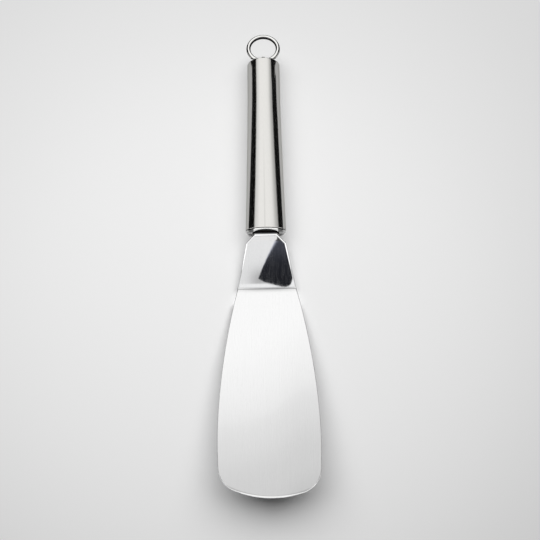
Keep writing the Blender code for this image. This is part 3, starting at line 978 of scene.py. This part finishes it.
def side_strip_level(g):
    x, y, z = g.axes()
    return g.ramp(y, SIDE_STRIP_LEVELS)


def on_plane(corners, out):
    """Places on the dark card's leaning plane, or on one as far away as out says."""
    ahead = Vector((0.0, -math.cos(DARK_CARD_RISE), math.sin(DARK_CARD_RISE)))
    up = Vector((0.0, math.sin(DARK_CARD_RISE), math.cos(DARK_CARD_RISE)))
    return [Vector((0.0, 0.0, DARK_CARD_Z)) + ahead * out + SIDE * u + up * v for u, v in corners]


def plane_place(g):
    """Across and up on that plane."""
    x, y, z = g.axes()
    up = g.blend(y, math.sin(DARK_CARD_RISE), z, math.cos(DARK_CARD_RISE))
    return x, g.math("SUBTRACT", up, DARK_CARD_Z * math.cos(DARK_CARD_RISE))


def dark_edge(g):
    """Share of the white card behind that shows at the dark card's soft left edge."""
    across, up = plane_place(g)
    edge = g.math("ADD", g.math("MULTIPLY", g.math("SUBTRACT", up, SOFT_FROM), SOFT_SLOPE), SOFT_START)
    inside = g.math("DIVIDE", g.math("SUBTRACT", across, edge), g.ramp(up, SOFT_WIDTHS))
    return g.hump(inside, 0.0, 1.0)


def dark_tint(g):
    values = {"Factor": dark_edge(g), "A": DARK_TINT + (1.0,), "B": CARD_TINT + (1.0,)}
    return g.node("Mix", values, data_type="RGBA").outputs["Result"]


def dark_level(g):
    across, up = plane_place(g)
    return g.math("ADD", g.ramp(up, DARK_LEVELS), g.math("MULTIPLY", dark_edge(g), FRONT_LEVEL))


def shade_level(g):
    humps = [g.hump(*values) for values in zip(plane_place(g), SHADE_MIDDLE, SHADE_WIDTHS)]
    dark = g.math("MULTIPLY", g.math("MULTIPLY", *humps), SHADE_DEPTH)
    return g.math("MULTIPLY", g.math("SUBTRACT", 1.0, dark), FRONT_LEVEL)


def make_studio():
    box = (BOX_LEFT, BOX_RIGHT)
    beside = (FRONT_TOP, FLAG_TOP)
    card("soft_box", box, (BOX_FOOT, BOX_TOP), counts=(40, 40), level=box_level)
    card("left_flag", (FLAG_LEFT, BOX_LEFT), beside, counts=(10, 30), level=flag_level)
    card("right_flag", (BOX_RIGHT, FLAG_RIGHT), beside, counts=(10, 30), level=flag_level)
    card("top_flag", box, (LOW_FLAG_FOOT, BOX_FOOT), counts=(40, 8), level=LOW_FLAG_LEVEL)
    card("front_top", box, (FRONT_TOP, LOW_FLAG_FOOT), counts=(40, 6), level=front_level)
    card("front_box", (-FRONT_SIDE, FRONT_SIDE), (FRONT_FOOT, FRONT_TOP), counts=(60, 20), level=front_level)
    for name, x in SIDE_STRIPS:
        upright(name, (x, -SIDE_STRIP_END), (x, SIDE_STRIP_END), SIDE_STRIP_H, side_strip_level)
    for row in NEAR_STRIPS:
        upright(*row)
    flat_card("dark_card", on_plane(DARK_CARD, DARK_CARD_OUT), dark_level, dark_tint)
    flat_card("shade_card", on_plane(SHADE_CARD, DARK_CARD_OUT + SHADE_CARD_BACK), shade_level)
    for row in LOW_CARDS:
        upright(*row)
    flat_card("low_dark", [Vector((x, LOW_DARK_Y, z)) for x, z in LOW_DARK], LOW_DARK_LEVEL)
    for row in RING_FLAGS:
        upright(*row)
    flat_card("ring_floor", [Vector((x, y, RING_FLOOR_Z)) for x, y in RING_FLOOR], BLACK)


# Surroundings, table, lamp and camera

def make_world():
    """Pale surroundings for what the eye and the metal see, and a low even light for the rest."""
    world = bpy.data.worlds.new("surroundings")
    bpy.context.scene.world = world
    world.use_nodes = True
    world.node_tree.nodes.clear()
    g = Graph(world.node_tree)
    lit = g.node("Background", {"Color": LIT_TONE})
    seen = g.node("Background", {"Color": SEEN_TONE})
    g.node("OutputWorld", {"Surface": g.mix_shader(g.seen(), lit, seen)})


def make_table():
    """Pale table top with a painted pool of light that darkens away from its middle, and that pales out into
    the surroundings far from the tool.
    """
    work = bmesh.new()
    bmesh.ops.create_grid(work, x_segments=8, y_segments=8, size=TABLE_HALF)
    floor = new_object("table", work, sharp_angle=30.0)
    floor.location.z = -TABLE_DROP * MM
    mat, g, shader = new_material("table_top")
    shader.inputs["Roughness"].default_value = TABLE_ROUGH
    shader.inputs["Specular IOR Level"].default_value = 0.0
    far = g.node("VectorMath", {0: g.place(), 1: TABLE_CENTRE}, operation="DISTANCE").outputs["Value"]
    # Painted pool of light: the table's colour darkens away from its middle
    shade = g.ramp(far, TABLE_PAINTED_FALLOFF)
    tone = g.node("CombineColor", {0: shade, 1: shade, 2: shade})
    g.set(shader.inputs["Base Color"], tone.outputs[0])
    glow = g.node("Emission", {"Color": SEEN_TONE})
    share = g.math("MULTIPLY", g.seen(), g.ramp(far, TABLE_GLOW))
    g.set(mat.node_tree.nodes["Material Output"].inputs["Surface"], g.mix_shader(share, shader, glow))
    mat.cycles.emission_sampling = "NONE"
    floor.data.materials.append(mat)


def make_lamp():
    """Wide soft lamp high beyond the ring, which lights the table and throws the soft shadow."""
    data = bpy.data.lights.new("overhead", "AREA")
    data.shape = "RECTANGLE"
    data.size, data.size_y = LAMP_SIZE
    data.energy = LAMP_POWER
    data.cycles.use_multiple_importance_sampling = False
    lamp = bpy.data.objects.new("overhead", data)
    bpy.context.scene.collection.objects.link(lamp)
    lamp.location = LAMP_PLACE
    lamp.rotation_euler = (-math.radians(LAMP_AIM), 0.0, 0.0)
    lamp.visible_glossy = False
    lamp.visible_camera = False


def make_shadow():
    """Low strip and flat blade that only throw shadows, in place of the pieces.

    The strip is narrower and lower than the handle, so that the shadow stays close beside it.
    """
    work = bmesh.new()
    places = []
    for i in range(SHADOW_STEPS + 1):
        back = TUBE_LEN * i / SHADOW_STEPS - (SHADOW_BEYOND if i == 0 else 0.0)
        taper = SHADOW_TAPER * max(0.0, 1.0 - back / SHADOW_TAPER_LEN)
        places.append((on_axis(-back).y + SHADOW_Y, tube_half_sizes(back)[0] - SHADOW_IN - taper, SHADOW_Z))
    shoulder = CREST_CORNER + NECK_DOWN * SHOULDER_DOWN
    places.append((shoulder.y + NECK_SHADOW_Y, SHOULDER_HALF_W - NECK_SHADOW_IN, NECK_SHADOW_Z))
    places.append((HEEL_CORNER.y, HEEL_HALF_W - NECK_SHADOW_IN, HEEL_SHADOW_Z))
    rows = [[work.verts.new((x + SHADOW_X, y, z)) for x in (-half, half)] for y, half, z in places]
    for low, high in zip(rows, rows[1:]):
        work.faces.new((low[0], low[1], high[1], high[0]))
    blade = []
    for s, x, share in full_outline():
        if s >= S_BLADE:
            s += BLADE_SHADOW_OUT * (s - S_BLADE) / (S_TIP - S_BLADE)
            blade.append(fold(s, x * BLADE_SHADOW_WIDE + SHADOW_X, 0.0))
    work.faces.new([work.verts.new(p) for p in blade])
    strip = new_object("shadow_strip", work, sharp_angle=180.0)
    strip.data.materials.append(emitter("shadow_strip", 0.0))
    strip.visible_camera = False
    strip.visible_glossy = False
    strip.visible_diffuse = False


def make_camera():
    data = bpy.data.cameras.new("camera")
    data.lens = CAM_LENS
    data.sensor_width = CAM_SENSOR
    data.sensor_fit = "HORIZONTAL"
    data.clip_start, data.clip_end = CAM_CLIP
    camera = bpy.data.objects.new("camera", data)
    bpy.context.scene.collection.objects.link(camera)
    camera.location = (CAM_X * MM, CAM_Y * MM, CAM_HEIGHT * MM)
    camera.rotation_euler = (0.0, 0.0, -math.radians(CAM_ROLL))
    bpy.context.scene.camera = camera


def make_pieces():
    """The detailed pieces, and the carried-over solids with their materials."""
    sheet = steel("sheet_steel", (0.597, 0.600, 0.606), roughness=0.022, grain=0.25, scale=220.0,
                  stretch=(3.5, 0.1, 0.1), bump=0.015, haze=0.06, share=sheet_painted_shade)
    tube = steel("tube_steel", (0.50, 0.495, 0.483), roughness=0.125, grain=0.3, scale=260.0,
                 stretch=(8.0, 0.2, 8.0), bump=0.05, edge_tint=(0.6, 0.6, 0.58), share=tube_share)
    # The lip's colour is raised far above the other steels' as a painted highlight
    lip = steel("lip_steel", (0.93, 0.93, 0.92), roughness=0.06, grain=0.3, scale=300.0,
                stretch=(1.0, 1.0, 1.0), bump=0.03, share=lip_painted_light)
    wire = steel("wire_steel", (0.62, 0.62, 0.61), roughness=0.08, grain=0.3, scale=300.0,
                 stretch=(1.0, 1.0, 1.0), bump=0.03, share=ring_painted_shade)
    cap = steel("cap_steel", (0.58, 0.58, 0.57), roughness=0.22, grain=0.3, scale=260.0,
                stretch=(1.0, 1.0, 1.0), bump=0.1)
    plug = black_plastic()
    pieces = [
        put(make_head(), "turner", "blade_head", sheet),
        put(make_tube(), "turner", "handle_tube", tube),
        put(make_collar(), "turner", "mouth_collar", lip),
        # The black band that paints the groove's shade takes the black plastic
        put(make_seam_shade(), "turner", None, plug),
        put(make_ring(), "ring", "hanging_ring", wire),
    ]
    for name, mat in (("tang_plug", plug), ("end_cap", cap), ("ring_eye", cap)):
        node = frame["nodes"][name]
        for slot in node.material_slots:
            slot.material = mat
        pieces.append(node)
    for piece in pieces:
        piece.visible_shadow = False


def main():
    bpy.context.scene.view_settings.view_transform = "Standard"
    make_camera()
    make_world()
    make_studio()
    make_table()
    make_lamp()
    make_shadow()
    make_pieces()


main()
